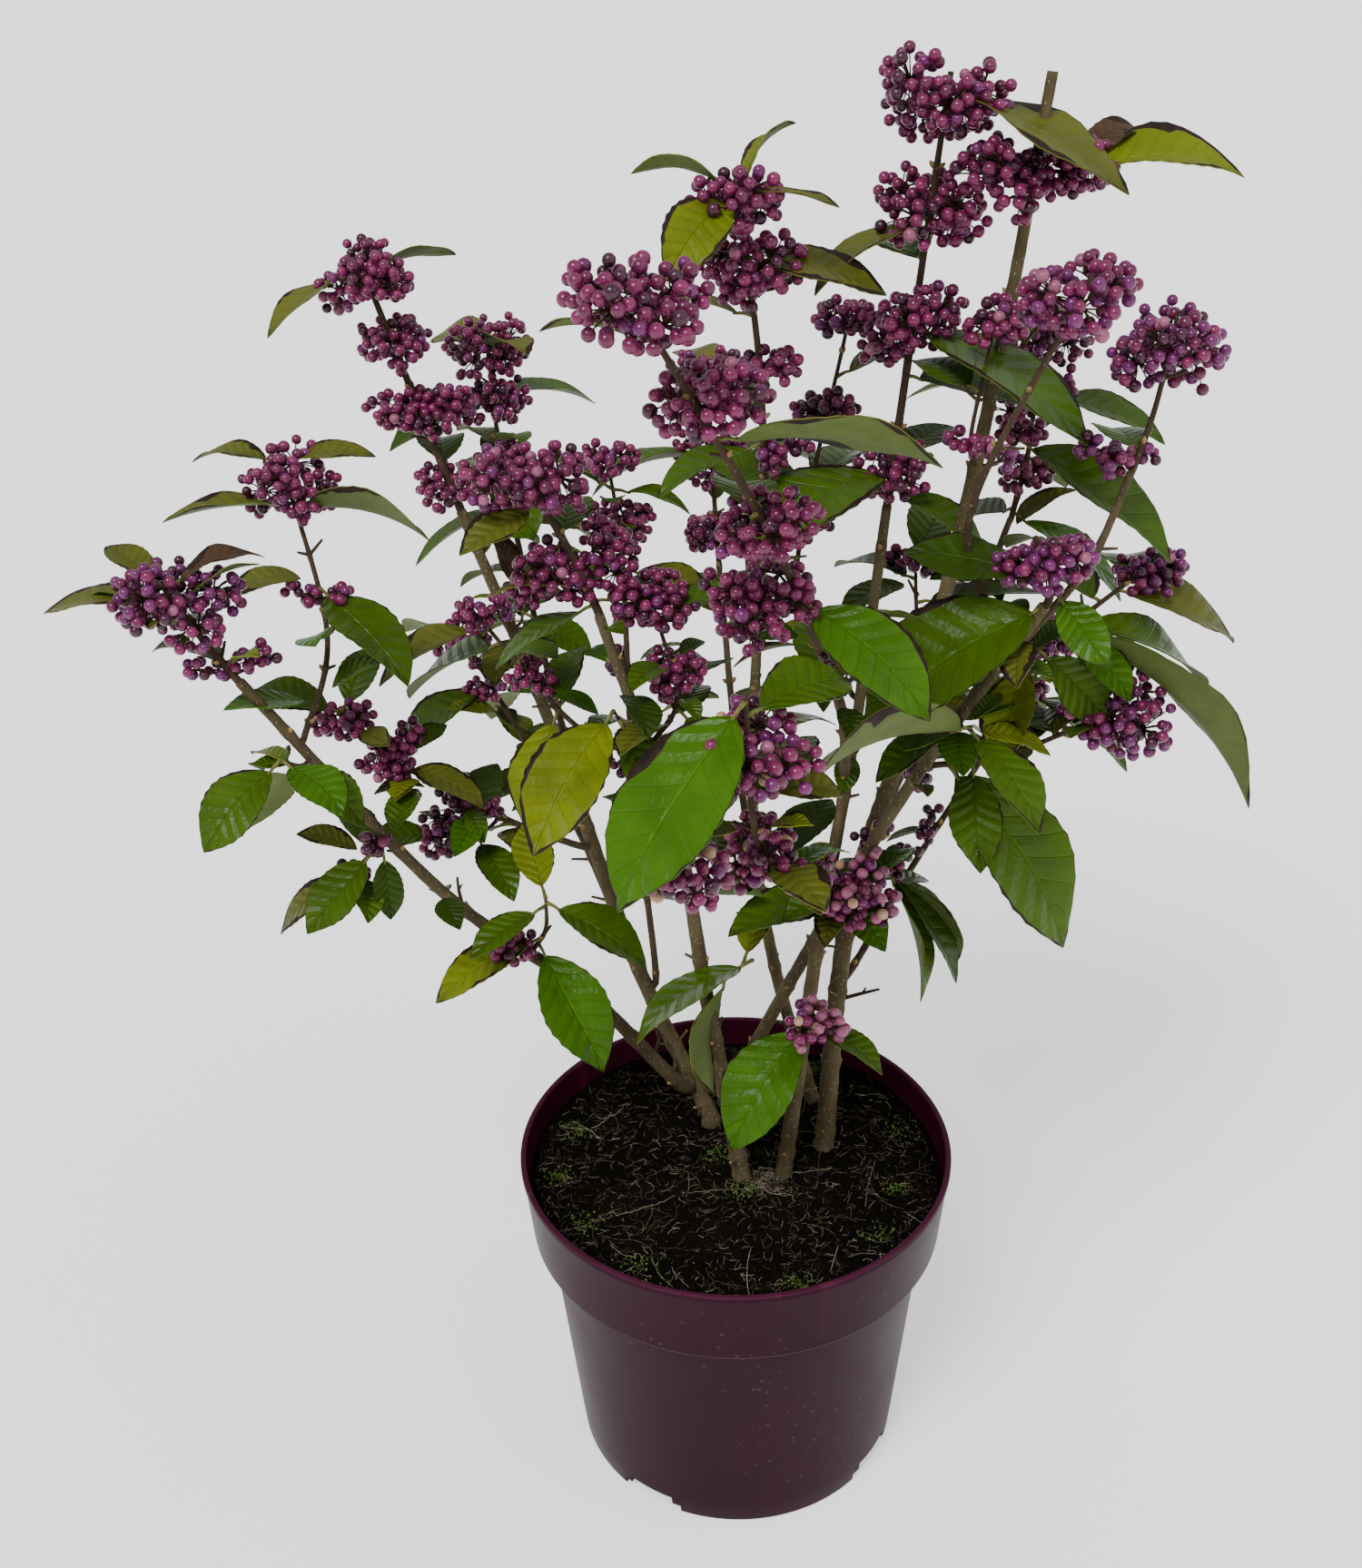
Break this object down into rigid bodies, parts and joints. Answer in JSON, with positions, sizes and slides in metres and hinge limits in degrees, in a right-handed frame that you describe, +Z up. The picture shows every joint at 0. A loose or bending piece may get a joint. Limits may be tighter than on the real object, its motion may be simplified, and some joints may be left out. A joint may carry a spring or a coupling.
{
  "type": "potted beautyberry shrub",
  "caption": "Garden shrub of leaning woody stems with pointed leaves and round bunches of purple berries, growing in a round plastic nursery pot filled with soil.",
  "frame": {"origin": "centre of the pot's flat underside, on the ground", "axes": "+Z up, -Y towards the front of the plant, +X to its right as seen from the front"},
  "size_m": [0.4751, 0.4082, 0.6002],
  "materials": {
    "pot_plastic": "satin moulded plastic, dark plum",
    "soil": "moist peat with fine pale roots",
    "bark": "grey-brown bark with pale pores",
    "young_bark": "smooth brown young bark",
    "foliage": "green leaves and glossy purple berries"
  },
  "bodies": {
    "root": {"back_centre_stem": "bark", "back_centre_tip": "foliage", "centre_back_shoot": "foliage", "centre_stem": "bark", "centre_tip": "foliage", "cut_stem": "bark", "cut_stem_left_shoot": "foliage", "cut_stem_low_rear_shoot": "foliage", "cut_stem_rear_shoot": "foliage", "cut_stem_right_shoot": "foliage", "cut_stem_top_left_fruit": "foliage", "cut_stem_top_right_fruit": "foliage", "front_bough": "young_bark", "front_left_leaf_spray": "foliage", "front_left_shoulder_shoot": "foliage", "front_left_stem": "bark", "front_left_tip": "foliage", "front_stem_low_spray": "foliage", "front_tip": "foliage", "inner_left_bough": "young_bark", "inner_left_side_shoot": "foliage", "inner_left_tip": "foliage", "left_arching_bough": "young_bark", "left_arching_tip": "foliage", "left_bough_outer_spray": "foliage", "left_bough_underside_shoot": "foliage", "left_rear_low_bough": "young_bark", "left_rear_low_tip": "foliage", "left_tall_side_spray": "foliage", "left_tall_stem": "bark", "left_tall_tip": "foliage", "low_centre_shoot": "foliage", "low_front_shoot": "foliage", "low_left_shoot": "foliage", "low_right_shoot": "foliage", "near_bough": "young_bark", "near_tip": "foliage", "pot": "pot_plastic", "potting_soil": "soil", "rear_centre_bough": "young_bark", "rear_centre_tip": "foliage", "rear_left_bough": "young_bark", "rear_left_tip": "foliage", "rear_right_bough": "young_bark", "rear_right_tip": "foliage", "right_leaning_stem": "bark", "right_leaning_tip": "foliage", "right_low_shoot": "foliage", "right_outer_bough": "young_bark", "right_outer_tip": "foliage", "right_rear_low_bough": "young_bark", "right_rear_low_tip": "foliage", "right_side_shoot": "foliage", "right_stem_leaf_spray": "foliage", "right_upright_shoot": "foliage", "thin_back_bough": "young_bark", "thin_back_tip": "foliage", "upper_left_shoot": "foliage", "upright_left_shoot": "foliage"}
  },
  "joints": []
}
